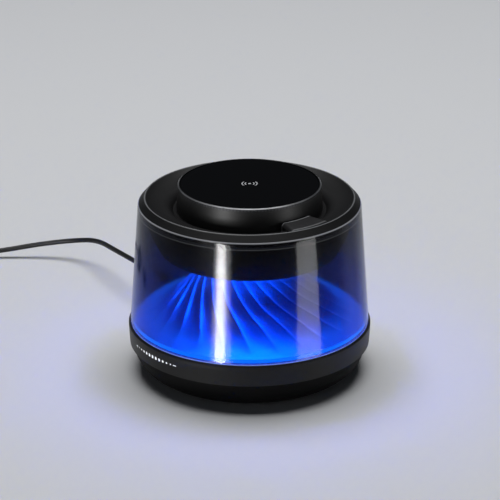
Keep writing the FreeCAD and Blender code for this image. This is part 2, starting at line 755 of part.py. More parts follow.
def charger_board():
    low = D.charger_board_bottom
    body = turned("charger_board", (0, low), (D.charger_board_radius, low),
                  (D.charger_board_radius, low + D.board_thickness), (0, low + D.board_thickness),
                  facing=PILLAR_AZIMUTH)
    holes(body, D.charger_standoff_ring, QUARTERS, SMALL_SCREW_RADIUS + HOLE_GAP, low,
          low + D.board_thickness)
    return body


def charger_chips():
    low = D.charger_board_bottom + D.board_thickness
    return blocks("charger_chips", 5, 20, 20, 6, 7, low, low + 1.6)


def charger_screws():
    seat = D.charger_board_bottom + D.board_thickness
    return screws("charger_screws", len(QUARTERS), D.charger_standoff_ring, PILLAR_AZIMUTH, SMALL_SCREW_RADIUS,
                  SMALL_SCREW_HEAD_RADIUS, D.drum_bottom + 0.5, seat, seat + 1.4)


# ---- electronics in the base ----


def main_board():
    low = D.main_board_bottom
    body = turned("main_board", (0, low), (D.main_board_radius, low),
                  (D.main_board_radius, low + D.board_thickness), (0, low + D.board_thickness),
                  facing=PILLAR_AZIMUTH)
    holes(body, D.standoff_ring, QUARTERS, SMALL_SCREW_RADIUS + HOLE_GAP, low, low + D.board_thickness)
    return body


def main_board_chips():
    return blocks("main_board_chips", 6, 22, 15, 7, 9, D.main_board_bottom - 2.2, D.main_board_bottom)


def board_screws():
    low = D.main_board_bottom
    return screws("board_screws", len(QUARTERS), D.standoff_ring, PILLAR_AZIMUTH, SMALL_SCREW_RADIUS,
                  SMALL_SCREW_HEAD_RADIUS, low + 7, low, low - 1.4)


def power_harness():
    low = D.main_board_bottom + D.board_thickness
    place = Placement(Vector(0, 0, low.value), Rotation())
    return rod("power_harness", place, D.harness_radius, D.charger_board_bottom - low)


def usb_socket():
    """The metal shell of the power inlet, open towards the outside."""
    azimuth = D.socket_azimuth.value
    wall, back, long = 0.3, 3, 8
    outer = radial(azimuth, D.socket_start, -D.socket_wide.value / 2, D.socket_height - D.socket_tall * 0.5)
    inner = radial(azimuth, D.socket_start + back, wall - D.socket_wide.value / 2,
                   D.socket_height - D.socket_tall * 0.5 + wall)
    outside = box("socket_outside", outer, long, D.socket_wide, D.socket_tall)
    inside = box("socket_inside", inner, long, D.socket_wide - 2 * wall, D.socket_tall - 2 * wall)
    return cut("usb_socket", outside, inside)


def socket_board():
    top = D.socket_height - D.socket_tall * 0.5
    deep, wide = 14, 18
    place = radial(D.socket_azimuth.value, D.socket_start - 7, -wide / 2, top - D.board_thickness)
    return box("socket_board", place, deep, wide, D.board_thickness)


# ---- the cord: plug, strain relief, free run, put-away coil, tie and far plug ----

PLUG_FACE = 80.5
PLUG_LENGTH = 18
RELIEF_LENGTH = 18
CORD_START = PLUG_FACE + PLUG_LENGTH + RELIEF_LENGTH

COIL_CENTRE = (-212.0, 163.3)
COIL_LIFT = 0.8
COIL_TURNS_WIDE = 4  # turns side by side in the lower of two layers
FAR_PLUG = (-238.2, 106.0)
FAR_GRIP = (16, 30, 8)
FAR_SHELL = (12, 18.75, 4.5)
FAR_SHELL_WALL = 0.3
FAR_TONGUE = 2.1  # the part of the far shell's height that stays solid
FAR_RELIEF_LENGTH = 12
TIE_WIDTH = 8
TIE_SLACK = 0.7  # the bundle is curved inside the straight strap

# The free run, in mm, from the strain relief down to the floor and on to the coil's outer turn, and the
# tail from the coil's top layer to the far plug.
CORD_ROUTE = [
    (-66.8, 95.5, 27.0),
    (-78.5, 114.0, 27.2),
    (-95.5, 143.0, 25.0),
    (-109.5, 173.5, 20.5),
    (-127.0, 188.0, 14.5),
    (-153.0, 191.0, 10.3),
    (-180.0, 190.4, 5.4),
    (-203.0, 189.6, 3.0),
]
TAIL_ROUTE = [
    (-238.1, 157.0, 6.05),
    (-238.9, 138.0, 5.2),
    (-238.2, 118.0, 4.0),
]


def cord_plug():
    place = radial(D.socket_azimuth.value, PLUG_FACE, -D.plug_wide.value / 2,
                   D.socket_height - D.plug_tall * 0.5)
    return rounded("cord_plug", box("plug_block", place, PLUG_LENGTH, D.plug_wide, D.plug_tall), 1.4)


def plug_shell():
    start, wide, tall = D.plug_shell_start, D.plug_shell_wide, D.plug_shell_tall
    place = radial(D.socket_azimuth.value, start, -wide.value / 2, D.socket_height - tall * 0.5)
    return box("plug_shell", place, size(PLUG_FACE) - start, wide, tall)


def plug_relief():
    place = radial(D.socket_azimuth.value, PLUG_FACE + PLUG_LENGTH, 0, D.socket_height, lying=True)
    return cone("plug_relief", place, D.relief_near, D.relief_far, RELIEF_LENGTH)


def tube_path(route):
    """Straight runs joined by tangent arcs, each arc as large as its two runs allow; and its least radius."""
    points = [Vector(*p) for p in route]
    edges = []
    radii = []
    last = points[0]
    for before, corner, after in zip(points, points[1:], points[2:]):
        to_start = (before - corner).normalize()
        to_end = (after - corner).normalize()
        half_turn = (math.pi - to_start.getAngle(to_end)) / 2
        reach = 0.45 * min((before - corner).Length, (after - corner).Length)
        radius = reach / math.tan(half_turn)
        start, end = corner + to_start * reach, corner + to_end * reach
        inward = (to_start + to_end).normalize()
        middle = corner + inward * (radius / math.cos(half_turn) - radius)
        edges.append(Part.LineSegment(last, start).toShape())
        edges.append(Part.Arc(start, middle, end).toShape())
        radii.append(radius)
        last = end
    edges.append(Part.LineSegment(last, points[-1]).toShape())
    print("cord radii", [round(r, 1) for r in radii])
    return Part.Wire(edges)


def tube(name, route):
    radius = D.cord_diameter.value / 2
    path = tube_path(route)
    first = path.Edges[0]
    section = Part.Wire(Part.Circle(first.valueAt(0), first.tangentAt(0), radius).toShape())
    shape = path.makePipeShell([section], True, False)
    print(name, "length", round(path.Length, 1), "volume", round(shape.Volume, 1), "section times length",
          round(math.pi * radius**2 * path.Length, 1))
    return solid(name, shape)


def cord():
    return tube("cord", CORD_ROUTE)


def cord_tail():
    return tube("cord_tail", TAIL_ROUTE)


def coil_size():
    """The coil bundle's inner and outer radius, bottom and top."""
    half = D.cord_diameter.value * COIL_TURNS_WIDE / 2
    mean = D.coil_turn_radius.value
    return mean - half, mean + half, COIL_LIFT, COIL_LIFT + 2 * D.cord_diameter.value


def cord_coil():
    """The coil bundle as one solid ring."""
    inner, outer, low, high = coil_size()
    place = Vector(*COIL_CENTRE, low)
    ring = Part.makeCylinder(outer, high - low, place).cut(Part.makeCylinder(inner, high - low, place))
    return solid("cord_coil", ring.makeFillet(1.2, ring.Edges))


def cord_tie():
    """A strap round the bundle, on the side of the coil nearest the object."""
    wall = COIL_LIFT - HOLE_GAP
    inner, outer, low, high = coil_size()
    corner = Vector(COIL_CENTRE[0] + outer + HOLE_GAP, COIL_CENTRE[1] - TIE_WIDTH / 2, low)
    long, tall = outer - inner + TIE_SLACK, high - low
    hollow = Part.makeBox(long, TIE_WIDTH, tall, corner - Vector(long, 0, 0))
    strap = Part.makeBox(long + 2 * wall, TIE_WIDTH, tall + 2 * wall, corner - Vector(long + wall, 0, wall))
    return solid("cord_tie", strap.cut(hollow))


def far_plug_pieces():
    """The far end: a rounded grip, a metal shell in front of it and a tapered relief behind it."""
    x, y = FAR_PLUG
    wide, long, tall = FAR_GRIP
    grip = box("usb_grip_block", Placement(Vector(x - wide / 2, y - long, 0), Rotation()), wide, long, tall)
    shell_wide, shell_long, shell_tall = FAR_SHELL
    front, low = y - long - shell_long, (tall - shell_tall) / 2
    place = Placement(Vector(x - shell_wide / 2, front, low), Rotation())
    outer = box("usb_shell_outside", place, shell_wide, shell_long, shell_tall)
    mouth = Placement(Vector(x - shell_wide / 2 + FAR_SHELL_WALL, front - 1, low + FAR_SHELL_WALL), Rotation())
    inner = box("usb_shell_inside", mouth, shell_wide - 2 * FAR_SHELL_WALL, shell_long,
                shell_tall - FAR_SHELL_WALL - FAR_TONGUE)
    relief = Placement(Vector(x, y, tall / 2), Rotation(Vector(1, 0, 0), -90))
    return [rounded("usb_plug", grip, 1.6), cut("usb_shell", outer, inner),
            cone("usb_relief", relief, D.relief_near, D.relief_far, FAR_RELIEF_LENGTH)]


# ---- build, check and write ----

PIECES = [
    foot_ring, bottom_bowl, base_screws, base_tray, base_band, slider_light_guide, slider_board,
    slider_leds, shell_gasket, clear_shell, reflector, centre_column, column_screws, light_diffuser,
    light_ring_board, light_leds, upper_housing, housing_screws, deck_ring, deck_key, key_board,
    key_switch, key_return_pad, pad_drum, bezel_ring, plate_mark, charging_plate, charging_coil,
    ferrite_shield, coil_carrier, charger_board, charger_chips, charger_screws, main_board,
    main_board_chips, board_screws, power_harness, usb_socket, socket_board, cord_plug, plug_shell,
    plug_relief, cord, cord_tail, cord_coil, cord_tie,
]


def check(items):
    """Stop on a failed object, or on a sub-part with no valid shape."""
    failed = [o.Name for o in doc.Objects if {"Invalid", "Error"} & set(o.State)]
    if failed:
        raise SystemExit(f"failed objects: {failed}")
    for item in items:
        if item.Shape.isNull() or not item.Shape.isValid() or not item.Shape.Solids:
            raise SystemExit(f"{item.Label} has no valid solid")


def main():
    items = [make() for make in PIECES] + far_plug_pieces()
    doc.recompute()
    check(items)
    os.makedirs("parts", exist_ok=True)
    for item in items:
        item.Shape.exportStep(f"parts/{item.Label}.step")
    print(len(items), "sub-parts written")


main()
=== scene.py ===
import json
import math

import bpy
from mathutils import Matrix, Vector


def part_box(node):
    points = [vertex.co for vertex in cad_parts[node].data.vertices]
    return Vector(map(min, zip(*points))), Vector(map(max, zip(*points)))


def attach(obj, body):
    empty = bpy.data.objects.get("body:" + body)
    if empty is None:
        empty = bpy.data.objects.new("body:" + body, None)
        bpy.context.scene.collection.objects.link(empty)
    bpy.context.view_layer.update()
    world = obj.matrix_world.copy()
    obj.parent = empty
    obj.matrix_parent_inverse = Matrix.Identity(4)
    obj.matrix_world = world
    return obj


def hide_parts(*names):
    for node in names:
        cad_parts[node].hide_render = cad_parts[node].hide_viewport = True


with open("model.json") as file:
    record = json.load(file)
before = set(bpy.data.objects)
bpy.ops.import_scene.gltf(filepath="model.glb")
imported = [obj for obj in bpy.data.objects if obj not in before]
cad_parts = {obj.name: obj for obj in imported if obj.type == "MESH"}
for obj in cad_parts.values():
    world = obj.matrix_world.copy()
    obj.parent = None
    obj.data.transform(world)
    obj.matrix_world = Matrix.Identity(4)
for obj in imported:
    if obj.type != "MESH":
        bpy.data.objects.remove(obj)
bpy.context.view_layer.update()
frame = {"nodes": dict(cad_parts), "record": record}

# Looks for a round charging pad on a drum-shaped lamp. +Z is up and -Y is the front. The camera, the lights
# and the finishes are in metres. Profiles, routes and whatever is multiplied by MM are in millimetres.
# An azimuth is an angle from the front, positive towards +X.

NODES = frame["nodes"]
MM = 0.001
BASE, KEY = "base", "key"


# Inner and outer radius of the key, for its shape and for the painted highlights along its edges.
KEY_INNER, KEY_OUTER = 49.4, 63.9


# ---- camera, floor and lights ----

VIEW_TILT = math.radians(21.93)
VIEW_DISTANCE = 1.98265
VIEW_TARGET_HEIGHT = 0.082557
LENS = 216.77
SENSOR = 36.0
VIEW_SHIFT = 0.0008
FLOOR_REACH = 6.0


def make_camera():
    data = bpy.data.cameras.new("camera")
    data.lens, data.sensor_width = LENS, SENSOR
    data.shift_x = VIEW_SHIFT
    data.clip_start, data.clip_end = 0.05, 50
    camera = bpy.data.objects.new("camera", data)
    camera.location = (0, -VIEW_DISTANCE * math.cos(VIEW_TILT),
                       VIEW_TARGET_HEIGHT + VIEW_DISTANCE * math.sin(VIEW_TILT))
    camera.rotation_euler = (math.pi / 2 - VIEW_TILT, 0, 0)
    bpy.context.scene.collection.objects.link(camera)
    bpy.context.scene.camera = camera


def make_floor():
    far = FLOOR_REACH
    mesh = bpy.data.meshes.new("floor")
    mesh.from_pydata([(-far, -far, 0), (far, -far, 0), (far, far, 0), (-far, far, 0)], [], [(0, 1, 2, 3)])
    floor = bpy.data.objects.new("floor", mesh)
    bpy.context.scene.collection.objects.link(floor)
    surface = Surface("floor_paper", (0.62, 0.63, 0.65), 0.75, specular=0.15)
    surface.roughness(surface.noise(30), 0.7, 0.8)
    surface.bump(surface.noise(900, detail=3), 0.00005, 0.15)
    mesh.materials.append(surface.material)


WORLD_COLOUR = (0.8, 0.88, 1.0, 1)
WORLD_STRENGTH = 0.035
# name, place, aim, width, height, watts
OVERHEAD = ("overhead", (0.0, 0.35, 2.2), (0, 0, 0), 1.8, 1.2, 50)
LAMP_MIDDLE = (0, 0, 0.09)
SIDE_BOXES = [
    ("left_box", (-0.77, -0.92, 0.17), LAMP_MIDDLE, 0.3, 0.3, 11),
    ("right_box", (1.05, -0.6, 0.2), LAMP_MIDDLE, 0.25, 0.34, 5),
]
# name, azimuth, width in degrees round the lamp, watts
STREAKS = [
    ("left_streak", -14.2, 4.4, 0.28),
    ("left_streak_halo", -13.8, 8.4, 0.10),
    ("right_streak", 29.7, 11.7, 0.10),
    ("edge_streak", 57.5, 8.0, 0.0015),
]
STREAK_RECEIVERS = bpy.data.collections.new("streak_receivers")
STREAK_REACH = 0.085
STREAK_HEIGHT = 0.104
STREAK_SPREAD = math.radians(120)
WALL_LEAN = math.radians(4.12)
WALL_MIDDLE_RADIUS, WALL_MIDDLE_HEIGHT = 0.0761, 0.073


def area_light(name, place, aim, wide, tall, watts):
    data = bpy.data.lights.new(name, "AREA")
    data.shape = "RECTANGLE"
    data.size, data.size_y = wide, tall
    data.energy = watts
    light = bpy.data.objects.new(name, data)
    light.location = place
    light.rotation_euler = (Vector(aim) - Vector(place)).to_track_quat("-Z", "Y").to_euler()
    light.visible_camera = False
    light.visible_transmission = False
    bpy.context.scene.collection.objects.link(light)
    return light


def cover_streak(name, azimuth, width_angle, watts):
    """A strip light, for the cover alone, that it mirrors to the front as one upright streak."""
    turn = math.radians(azimuth)
    radius = WALL_MIDDLE_RADIUS
    spot = Vector((radius * math.sin(turn), -radius * math.cos(turn), WALL_MIDDLE_HEIGHT))
    normal = Vector((math.cos(WALL_LEAN) * math.sin(turn), -math.cos(WALL_LEAN) * math.cos(turn),
                     math.sin(WALL_LEAN)))
    view = Vector((0, -math.cos(VIEW_TILT), math.sin(VIEW_TILT)))
    mirrored = 2 * view.dot(normal) * normal - view
    wide = math.radians(width_angle) * (radius * abs(math.cos(turn)) + 2 * STREAK_REACH)
    light = area_light(name, spot + mirrored * STREAK_REACH, spot, wide, STREAK_HEIGHT, watts)
    light.data.spread = STREAK_SPREAD
    light.visible_diffuse = False
    light.light_linking.receiver_collection = STREAK_RECEIVERS


def make_lights():
    world = bpy.data.worlds.new("studio")
    bpy.context.scene.world = world
    world.use_nodes = True
    background = world.node_tree.nodes["Background"]
    background.inputs["Color"].default_value = WORLD_COLOUR
    background.inputs["Strength"].default_value = WORLD_STRENGTH
    area_light(*OVERHEAD)
    for side_box in SIDE_BOXES:
        area_light(*side_box).visible_diffuse = False
    for streak in STREAKS:
        cover_streak(*streak)
    bpy.context.scene.view_settings.view_transform = "Standard"


# ---- materials ----

NOISE_BAND = (0.3, 0.7)


class Surface:
    """A node material round one Principled shader, patterned in the object's own space."""

    def __init__(self, name, colour, roughness, specular=0.5, **sockets):
        self.material = bpy.data.materials.new(name)
        self.material.use_nodes = True
        self.nodes = self.material.node_tree.nodes
        self.links = self.material.node_tree.links
        self.shader = self.nodes["Principled BSDF"]
        self.place = self.nodes.new("ShaderNodeTexCoord").outputs["Object"]
        self.set("Base Color", (*colour, 1))
        self.set("Roughness", roughness)
        self.set("Specular IOR Level", specular)
        for socket, value in sockets.items():
            self.set(socket.replace("_", " "), value)
        self.last_normal = None

    def set(self, socket, value):
        self.shader.inputs[socket].default_value = value

    def stretched(self, x, y, z):
        mapping = self.nodes.new("ShaderNodeMapping")
        mapping.inputs["Scale"].default_value = (x, y, z)
        self.links.new(self.place, mapping.inputs["Vector"])
        return mapping.outputs["Vector"]

    def noise(self, scale, detail=4.0, roughness=0.55, vector=None):
        noise = self.nodes.new("ShaderNodeTexNoise")
        noise.inputs["Scale"].default_value = scale
        noise.inputs["Detail"].default_value = detail
        noise.inputs["Roughness"].default_value = roughness
        self.links.new(vector or self.place, noise.inputs["Vector"])
        return noise.outputs["Fac"]

    def cells(self, scale):
        cells = self.nodes.new("ShaderNodeTexVoronoi")
        cells.inputs["Scale"].default_value = scale
        self.links.new(self.place, cells.inputs["Vector"])
        return cells.outputs["Distance"]

    def math(self, operation, *values):
        node = self.nodes.new("ShaderNodeMath")
        node.operation = operation
        for number, value in enumerate(values):
            if isinstance(value, (int, float)):
                node.inputs[number].default_value = value
            else:
                self.links.new(value, node.inputs[number])
        return node.outputs[0]

    def axes(self):
        split = self.nodes.new("ShaderNodeSeparateXYZ")
        self.links.new(self.place, split.inputs[0])
        return split.outputs

    def height(self):
        return self.axes()[2]

    def radius(self):
        x, y, _ = self.axes()
        squares = self.math("ADD", self.math("MULTIPLY", x, x), self.math("MULTIPLY", y, y))
        return self.math("SQRT", squares)

    def azimuth(self):
        """The angle round Z from the front, in degrees."""
        x, y, _ = self.axes()
        return self.math("DEGREES", self.math("ARCTAN2", x, self.math("MULTIPLY", y, -1)))

    def distance(self, value, middle):
        return self.math("ABSOLUTE", self.math("SUBTRACT", value, middle))

    def ranged(self, value, low, high, to_low, to_high, smooth=False):
        node = self.nodes.new("ShaderNodeMapRange")
        if smooth:
            node.interpolation_type = "SMOOTHSTEP"
        limits = {"From Min": low, "From Max": high, "To Min": to_low, "To Max": to_high}
        for socket, number in limits.items():
            node.inputs[socket].default_value = number
        self.links.new(value, node.inputs["Value"])
        return node.outputs["Result"]

    def ramp(self, value, *stops):
        node = self.nodes.new("ShaderNodeValToRGB")
        while len(node.color_ramp.elements) < len(stops):
            node.color_ramp.elements.new(0.5)
        for element, (place, colour) in zip(node.color_ramp.elements, stops):
            element.position = place
            element.color = (*colour, 1)
        self.links.new(value, node.inputs["Fac"])
        return node.outputs["Color"]

    def colour(self, value, *stops, socket="Base Color"):
        self.links.new(self.ramp(value, *stops), self.shader.inputs[socket])

    def roughness(self, value, low, high):
        self.links.new(self.ranged(value, *NOISE_BAND, low, high), self.shader.inputs["Roughness"])

    def glow(self, strength, colour=None):
        """Emission whose strength comes from a node; without a colour, another call sets that."""
        if colour:
            self.set("Emission Color", (*colour, 1))
        self.links.new(strength, self.shader.inputs["Emission Strength"])

    def bump(self, height, distance, strength=1.0):
        node = self.nodes.new("ShaderNodeBump")
        node.inputs["Distance"].default_value = distance
        node.inputs["Strength"].default_value = strength
        self.links.new(height, node.inputs["Height"])
        if self.last_normal is not None:
            self.links.new(self.last_normal, node.inputs["Normal"])
        self.last_normal = node.outputs["Normal"]
        self.links.new(self.last_normal, self.shader.inputs["Normal"])


def moulded(name, dark, light, rough=(0.36, 0.5), grain=5200, depth=0.00002, specular=0.35):
    """Moulded plastic or rubber: spark-eroded grain, faint flow marks and handling sheen."""
    surface = Surface(name, dark, rough[0], specular)
    flow = surface.noise(45, detail=5)
    surface.colour(flow, (0.3, dark), (0.72, light))
    patches = surface.math("MULTIPLY", flow, 0.6)
    specks = surface.math("MULTIPLY", surface.noise(grain * 0.3), 0.4)
    surface.roughness(surface.math("ADD", patches, specks), *rough)
    surface.bump(surface.noise(grain, detail=2), depth, 0.5)
    surface.bump(surface.noise(110, detail=2), depth * 1.5, 0.25)
    return surface


BLACK, BLACK_LIT = (0.005, 0.005, 0.0055), (0.008, 0.008, 0.009)


def satin_black():
    return moulded("satin_black", BLACK, BLACK_LIT, rough=(0.42, 0.5), specular=0.26)


PLATE_BLACK, PLATE_DUST = (0.0015, 0.0015, 0.0018), (0.012, 0.012, 0.013)


def gloss_black():
    """Gloss plate with finger smudges and a little dust."""
    surface = Surface("gloss_black", PLATE_BLACK, 0.06, specular=0.14)
    surface.roughness(surface.noise(38, detail=6, roughness=0.7), 0.04, 0.12)
    surface.colour(surface.cells(700), (0.0, PLATE_DUST), (0.035, PLATE_BLACK))
    surface.bump(surface.noise(14, detail=1), 0.00004, 0.2)
    return surface


# Repeated marks, in radians per metre: turning marks on metal, tracks on a board, turns of a winding.
TURNING_MARKS = 52000
TRACKS_X, TRACKS_Y = 2600, 2100
WINDING_TURNS = 7000

BEZEL_EDGE, BEZEL_CUT = 46.6, 0.4


def bezel_metal():
    """Satin black metal whose outer top edge is cut back to bright metal."""
    surface = Surface("bezel_metal", (0.04, 0.04, 0.043), 0.35, Metallic=1.0)
    surface.roughness(surface.noise(90, detail=3), 0.33, 0.4)
    off_edge = surface.distance(surface.radius(), BEZEL_EDGE * MM)
    cut = surface.ranged(off_edge, BEZEL_CUT * MM * 0.6, BEZEL_CUT * MM, 1, 0)
    uneven = surface.ranged(surface.noise(70), 0.3, 0.6, 0.75, 1.0)
    surface.colour(surface.math("MULTIPLY", cut, uneven),
                   (0.0, (0.045, 0.045, 0.048)), (1.0, (0.6, 0.61, 0.63)))
    marks = surface.math("SINE", surface.math("MULTIPLY", surface.radius(), TURNING_MARKS))
    surface.bump(marks, 0.000001, 0.2)
    return surface


COVER_LOW, COVER_HIGH = 0.035, 0.117
# Heights of the cover's top edge and of a line under it, and the strengths of the highlights painted there
# as emission.
COVER_EDGE_START, COVER_EDGE_END, COVER_EDGE_HIGHLIGHT = 0.1154, 0.1160, 0.2
COVER_LINE, COVER_LINE_HALF, COVER_LINE_HIGHLIGHT = 0.1118, 0.0004, 0.05


def clear_plastic():
    """Tinted cover, smoke above and blue below, with a painted highlight along its top edge and a faint
    painted highlight line under it.
    """
    surface = Surface("clear_plastic", (0.1, 0.15, 0.4), 0.13, specular=0.5, Transmission_Weight=1.0,
                      IOR=1.18)
    surface.roughness(surface.noise(25, detail=5, roughness=0.7), 0.11, 0.15)
    height = surface.height()
    surface.colour(surface.ranged(height, COVER_LOW, COVER_HIGH, 0, 1), (0.0, (0.04, 0.10, 0.42)),
                   (0.5, (0.05, 0.07, 0.22)), (1.0, (0.10, 0.11, 0.15)))
    surface.bump(surface.noise(9, detail=1), 0.00012, 0.05)
    # Painted highlights: emission makes the top edge bright and draws a faint bright line under it; the
    # cover is no lamp.
    edge = surface.ranged(height, COVER_EDGE_START, COVER_EDGE_END, 0.0, COVER_EDGE_HIGHLIGHT)
    off_line = surface.distance(height, COVER_LINE)
    line = surface.ranged(off_line, 0.0, COVER_LINE_HALF, COVER_LINE_HIGHLIGHT, 0.0)
    surface.glow(surface.math("ADD", edge, line), (0.9, 0.93, 1.0))
    return surface


# Height band and strength of the painted glow along the reflector's outer lip.
PAINTED_LIP_GLOW_FULL, PAINTED_LIP_GLOW_END, PAINTED_LIP_GLOW = 0.0371, 0.0374, 2.4


def reflector_white():
    """Satin metallised plastic with painted light: its colour runs from dark near the throat to bright cyan
    outwards, and its outer lip glows as a painted bright line at the seam.
    """
    surface = Surface("reflector_white", (0.10, 0.22, 0.5), 0.3, Metallic=0.85)
    # Painted light and shade: the colour runs from dark blue near the throat to bright cyan at the outer
    # radius.
    surface.colour(surface.radius(), (0.030, (0.022, 0.045, 0.1)), (0.044, (0.04, 0.1, 0.2)),
                   (0.056, (0.09, 0.3, 0.5)), (0.065, (0.24, 1.0, 1.0)))
    surface.roughness(surface.noise(120, detail=4), 0.44, 0.5)
    # Painted light: emission along the outer lip draws the bright line at the seam; the reflector is no
    # lamp.
    rim = surface.ranged(surface.height(), PAINTED_LIP_GLOW_FULL, PAINTED_LIP_GLOW_END, PAINTED_LIP_GLOW, 0.0)
    surface.glow(rim, (0.0, 0.6, 1.0))
    surface.bump(surface.noise(60, detail=2), 0.00004, 0.1)
    return surface


LEDS = 24
DIFFUSER_GLOW = 215.0


def diffuser_glow():
    """Frosted ring, brighter beside each of the lamps behind it."""
    surface = Surface("diffuser_glow", (0.3, 0.5, 0.9), 0.5)
    surface.set("Emission Strength", DIFFUSER_GLOW)
    x, y, _ = surface.axes()
    angle = surface.math("ARCTAN2", y, x)
    pools = surface.math("COSINE", surface.math("MULTIPLY", angle, LEDS))
    surface.colour(surface.ranged(pools, -1, 1, 0, 1), (0.0, (0.0, 0.22, 0.85)), (1.0, (0.0, 0.27, 1.0)),
                   socket="Emission Color")
    return surface


SLIDER_AZIMUTH, SLIDER_PITCH = -52.25, 2.47
PAST_LAST_DOT = 5.5
WINDOW_CORE, WINDOW_DARK = 0.2, 0.3


def window_light():
    """Smoked windows, each lit in its middle; the signs beyond the last dots are lit all over."""
    surface = Surface("window_light", (0.02, 0.02, 0.024), 0.3)
    turn = surface.math("SUBTRACT", surface.azimuth(), SLIDER_AZIMUTH)
    place = surface.math("DIVIDE", turn, SLIDER_PITCH)
    off_middle = surface.math("PINGPONG", place, 0.5)
    dots = surface.ranged(off_middle, WINDOW_CORE, WINDOW_DARK, 1.0, 0.0, smooth=True)
    signs = surface.math("GREATER_THAN", surface.math("ABSOLUTE", place), PAST_LAST_DOT)
    surface.glow(surface.math("MAXIMUM", dots, signs))
    surface.colour(surface.noise(900), (0.2, (0.82, 0.9, 1.0)), (0.8, (1.0, 1.0, 1.0)),
                   socket="Emission Color")
    surface.bump(surface.noise(1500, detail=2), 0.00001, 0.3)
    return surface


def mark_grey():
    surface = Surface("mark_grey", (0.42, 0.43, 0.45), 0.45)
    surface.colour(surface.noise(3000), (0.3, (0.36, 0.37, 0.39)), (0.7, (0.48, 0.49, 0.51)))
    return surface


def rubber():
    return moulded("rubber", (0.014, 0.014, 0.014), (0.024, 0.024, 0.023), rough=(0.6, 0.8), grain=2600,
                   depth=0.00004, specular=0.3)


def cable():
    return moulded("cable", (0.008, 0.008, 0.009), (0.013, 0.013, 0.0135), rough=(0.4, 0.52), grain=4200,
                   depth=0.00001, specular=0.4)


def tie_strap():
    surface = Surface("tie_strap", (0.015, 0.015, 0.016), 0.85, specular=0.2)
    loops = surface.cells(2400)
    surface.colour(loops, (0.1, (0.028, 0.028, 0.03)), (0.6, (0.008, 0.008, 0.009)))
    surface.bump(loops, 0.0002, 0.8)
    return surface


SEAL_PAINTED_GLOW = 0.45


def seal():
    """Milky gasket with a painted glow: emission standing in for the ring's light reaching it."""
    surface = Surface("seal", (0.6, 0.7, 0.95), 0.35)
    # Painted light: the gasket is no lamp, its glow is emission.
    surface.set("Emission Strength", SEAL_PAINTED_GLOW)
    surface.colour(surface.noise(300), (0.3, (0.1, 0.2, 1.0)), (0.7, (0.2, 0.32, 1.0)),
                   socket="Emission Color")
    return surface


def board():
    """Green board with rows of tracks both ways and scattered bare pads."""
    surface = Surface("board", (0.01, 0.09, 0.045), 0.35)
    x, y, _ = surface.axes()
    tracks = surface.math("MAXIMUM", surface.math("SINE", surface.math("MULTIPLY", x, TRACKS_X)),
                          surface.math("SINE", surface.math("MULTIPLY", y, TRACKS_Y)))
    pads = surface.math("GREATER_THAN", surface.cells(420), 0.72)
    raised = surface.ranged(tracks, 0.86, 0.93, 0, 0.4)
    surface.colour(surface.math("ADD", raised, surface.math("MULTIPLY", pads, 0.6)),
                   (0.0, (0.008, 0.07, 0.035)), (0.4, (0.015, 0.14, 0.06)), (0.7, (0.5, 0.4, 0.18)))
    surface.bump(tracks, 0.00003, 0.4)
    return surface


def chip():
    return moulded("chip", (0.015, 0.015, 0.016), (0.028, 0.028, 0.028), rough=(0.5, 0.65), grain=7000)


LED_GLOW = 0.4


def led():
    surface = Surface("led", (0.8, 0.78, 0.6), 0.3)
    surface.colour(surface.cells(900), (0.0, (0.9, 0.85, 0.45)), (0.5, (0.85, 0.85, 0.85)))
    surface.set("Emission Strength", LED_GLOW)
    surface.set("Emission Color", (0.1, 0.2, 1.0, 1))
    return surface


def steel():
    """Drawn steel with a grain stretched along Z."""
    surface = Surface("steel", (0.55, 0.56, 0.58), 0.3, Metallic=1.0)
    grain = surface.noise(700, detail=6, vector=surface.stretched(1, 1, 0.05))
    surface.roughness(grain, 0.22, 0.42)
    surface.colour(grain, (0.3, (0.46, 0.47, 0.49)), (0.7, (0.62, 0.63, 0.65)))
    surface.bump(grain, 0.00002, 0.3)
    return surface


def ferrite():
    return moulded("ferrite", (0.03, 0.03, 0.033), (0.07, 0.07, 0.075), rough=(0.5, 0.7), grain=1500)


def copper():
    """Wound wire: rings of turns about the axis of the coil."""
    surface = Surface("copper", (0.6, 0.24, 0.1), 0.3, Metallic=1.0)
    turns = surface.math("SINE", surface.math("MULTIPLY", surface.radius(), WINDING_TURNS))
    # Painted shade: the colour is darker in the grooves between the turns.
    surface.colour(surface.ranged(turns, -1, 1, 0, 1), (0.0, (0.22, 0.07, 0.03)),
                   (0.6, (0.68, 0.28, 0.12)))
    surface.bump(turns, 0.0003, 0.8)
    return surface


def inner_plastic():
    return moulded("inner_plastic", (0.05, 0.05, 0.055), (0.075, 0.075, 0.08), rough=(0.5, 0.65))


FINISHES = {
    "satin_black": satin_black, "gloss_black": gloss_black, "bezel_metal": bezel_metal,
    "clear_plastic": clear_plastic, "reflector_white": reflector_white, "diffuser": diffuser_glow,
    "window": window_light, "mark_grey": mark_grey, "rubber": rubber, "cable": cable,
    "tie_strap": tie_strap, "seal": seal, "board": board, "chip": chip, "led": led, "steel": steel,
    "ferrite": ferrite, "copper": copper, "inner_plastic": inner_plastic,
}
MADE = {}


def finish_of(slot):
    if slot not in MADE:
        MADE[slot] = FINISHES[slot]().material
    return MADE[slot]


def bowl_black():
    """The recessed bowl is left rough from the mould, with a colour darker than the band above it as
    painted shade for the recess.
    """
    # Painted shade: the darker colour stands in for the shade in the recess under the band.
    return moulded("bowl_black", (0.0025, 0.0025, 0.003), (0.0045, 0.0045, 0.005), rough=(0.55, 0.7),
                   specular=0.08)


def silky(name, dark, light):
    """The drum and the key have a smoother, silkier paint than the rest."""
    return moulded(name, dark, light, rough=(0.36, 0.42), grain=7000, depth=0.000008, specular=0.5)


def drum_black():
    return silky("drum_black", BLACK, BLACK_LIT)


